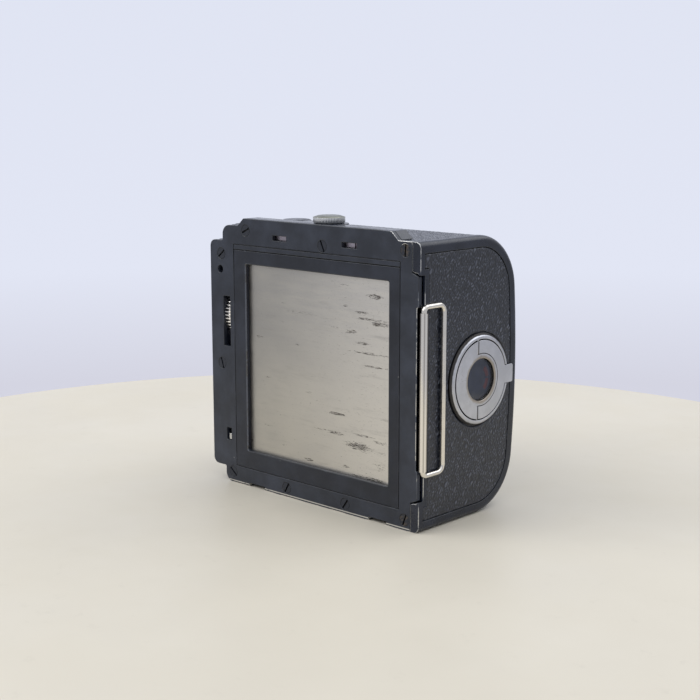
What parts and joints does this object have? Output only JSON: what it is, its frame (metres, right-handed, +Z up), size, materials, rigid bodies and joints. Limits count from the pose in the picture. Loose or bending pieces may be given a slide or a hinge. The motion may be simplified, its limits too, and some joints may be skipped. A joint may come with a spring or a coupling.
{
  "type": "roll-film magazine",
  "caption": "Roll-film magazine with a square film aperture, dark slide with a wire bail, film holder with a folding key, winding crank and gear train, and a release catch.",
  "frame": {"origin": "middle of the film aperture, on the face that meets the camera body", "axes": "-Y is the camera face's outward normal, so +Y points to the back of the magazine; +X is the film holder's side; +Z is up, and the magazine stands on its -Z face"},
  "size_m": [0.0887, 0.0438, 0.0833],
  "materials": {
    "black_enamel": "satin black enamel on light alloy",
    "leather": "black pebble grain",
    "satin_steel": "satin, scratched",
    "nickel": "polished nickel",
    "satin_chrome": "satin chrome",
    "brass": "turned brass",
    "steel": "bright steel",
    "dark_steel": "blackened steel",
    "velvet": "black velvet",
    "glass": "clear",
    "dial": "matte dark blue with red arcs",
    "black_plastic": "matte",
    "signal": "half white, half red",
    "light_alloy": "brushed"
  },
  "bodies": {
    "magazine": {"front_plate": "black_enamel", "aperture_panel": "black_enamel", "front_screws": "dark_steel", "front_frame": "black_enamel", "light_trap_pad": "velvet", "film_rails": "steel", "catch_housing": "black_enamel", "top_boss": "black_enamel", "casing": "black_enamel", "drive_wall": "black_enamel", "body_leather": "leather", "gear_studs": "steel", "gear_plate": "steel", "gear_plate_screws": "steel", "gear_cover": "black_enamel", "cover_leather": "leather", "cover_screws": "dark_steel", "crank_escutcheon": "satin_chrome", "indicator_bezels": "satin_chrome", "indicator_glasses": "glass", "catch_spring": "steel"},
    "catch": {"catch_bar": "steel", "catch_stem": "steel", "release_button": "satin_chrome"},
    "crank": {"crank_shaft": "steel", "crank_gear": "brass", "crank_disc": "satin_chrome", "crank_arm_pin": "steel"},
    "crank_arm": {"crank_arm": "satin_chrome"},
    "crank_knob": {"crank_knob": "satin_chrome"},
    "drive_gear": {"drive_gear": "steel"},
    "idler_gear": {"idler_gear": "brass"},
    "take_up_drive": {"take_up_gear": "brass", "take_up_dog": "steel"},
    "counter": {"counter_dial": "dial"},
    "film_signal": {"film_signal_flag": "signal"},
    "signal_lever": {"signal_lever": "steel"},
    "film_holder": {"side_cover": "black_enamel", "side_leather": "leather", "window_dial": "dial", "holder_plates": "light_alloy", "holder_posts": "steel", "holder_web": "light_alloy", "spool_pivots": "steel", "roller_axles": "steel", "pressure_springs": "steel"},
    "key": {"key_dish": "satin_chrome", "key_face": "satin_chrome", "flap_pins": "steel", "key_hub_and_cam": "steel", "window_glass": "glass"},
    "key_flap": {"key_flap": "satin_chrome"},
    "pressure_plate": {"pressure_plate": "satin_steel"},
    "take_up_spool": {"take_up_spool": "black_plastic"},
    "upper_roller": {"upper_guide_roller": "steel"},
    "lower_roller": {"lower_guide_roller": "steel"},
    "dark_slide": {"dark_slide": "satin_steel"},
    "bail": {"handle_bail": "nickel"}
  },
  "joints": [
    {"name": "catch_slide", "type": "slide", "parent": "magazine", "child": "catch", "axis": [-1, 0, 0], "range_m": [0, 0.0045], "stiffness_N_per_m": 150, "springref_m": -0.002, "deforming": ["catch_spring"]},
    {"name": "crank_turn", "type": "hinge", "parent": "magazine", "child": "crank", "pos_m": [-0.04, 0.0238, 0], "axis": [1, 0, 0], "continuous": true},
    {"name": "crank_arm_fold", "type": "hinge", "parent": "crank", "child": "crank_arm", "pos_m": [-0.0466, 0.0318, 0], "axis": [0, 0, -1], "range_deg": [0, 180]},
    {"name": "crank_knob_spin", "type": "hinge", "parent": "crank_arm", "child": "crank_knob", "pos_m": [-0.045, 0.0163, 0], "axis": [1, 0, 0], "continuous": true},
    {"name": "drive_gear_spin", "type": "hinge", "parent": "magazine", "child": "drive_gear", "pos_m": [-0.037, 0.00948, 0.0123], "axis": [1, 0, 0], "continuous": true},
    {"name": "idler_gear_spin", "type": "hinge", "parent": "magazine", "child": "idler_gear", "pos_m": [-0.037, 0.02962, 0.01265], "axis": [1, 0, 0], "continuous": true},
    {"name": "take_up_spin", "type": "hinge", "parent": "magazine", "child": "take_up_drive", "pos_m": [-0.037, 0.0275, 0.0225], "axis": [1, 0, 0], "continuous": true},
    {"name": "counter_spin", "type": "hinge", "parent": "magazine", "child": "counter", "pos_m": [-0.041, 0.0125, 0.024], "axis": [1, 0, 0], "continuous": true},
    {"name": "film_signal_swing", "type": "hinge", "parent": "magazine", "child": "film_signal", "pos_m": [-0.04065, 0.0205, 0.017], "axis": [1, 0, 0], "range_deg": [0, 10]},
    {"name": "signal_lever_slide", "type": "slide", "parent": "magazine", "child": "signal_lever", "axis": [0, 0, 1], "range_m": [0, 0.0015]},
    {"name": "film_holder_slide", "type": "slide", "parent": "magazine", "child": "film_holder", "axis": [1, 0, 0], "range_m": [0, 0.08]},
    {"name": "key_turn", "type": "hinge", "parent": "film_holder", "child": "key", "pos_m": [0.039, 0.0253, -0.0005], "axis": [1, 0, 0], "range_deg": [0, 90]},
    {"name": "key_flap_fold", "type": "hinge", "parent": "key", "child": "key_flap", "pos_m": [0.03988, 0.02395, -0.0005], "axis": [0, 0, -1], "range_deg": [0, 90]},
    {"name": "pressure_plate_slide", "type": "slide", "parent": "film_holder", "child": "pressure_plate", "axis": [0, 1, 0], "range_m": [0, 0.0008], "stiffness_N_per_m": 1500, "springref_m": -0.0008, "deforming": ["pressure_springs"]},
    {"name": "take_up_spool_spin", "type": "hinge", "parent": "film_holder", "child": "take_up_spool", "pos_m": [0, 0.0275, 0.0225], "axis": [1, 0, 0], "continuous": true},
    {"name": "upper_roller_spin", "type": "hinge", "parent": "film_holder", "child": "upper_roller", "pos_m": [0, 0.0106, 0.0336], "axis": [1, 0, 0], "continuous": true},
    {"name": "lower_roller_spin", "type": "hinge", "parent": "film_holder", "child": "lower_roller", "pos_m": [0, 0.0106, -0.0336], "axis": [1, 0, 0], "continuous": true},
    {"name": "dark_slide_draw", "type": "slide", "parent": "film_holder", "child": "dark_slide", "axis": [1, 0, 0], "range_m": [0, 0.078]},
    {"name": "bail_swing", "type": "hinge", "parent": "dark_slide", "child": "bail", "pos_m": [0.04015, 0.00065, 0], "axis": [0, 0, -1], "range_deg": [0, 160]}
  ],
  "couplings": [
    {"joint": "drive_gear_spin", "follows": "crank_turn", "ratio": -1.1071},
    {"joint": "idler_gear_spin", "follows": "crank_turn", "ratio": -2.48},
    {"joint": "take_up_spin", "follows": "crank_turn", "ratio": 1.6316},
    {"joint": "take_up_spool_spin", "follows": "crank_turn", "ratio": 1.6316},
    {"joint": "counter_spin", "follows": "crank_turn", "ratio": -0.1}
  ]
}
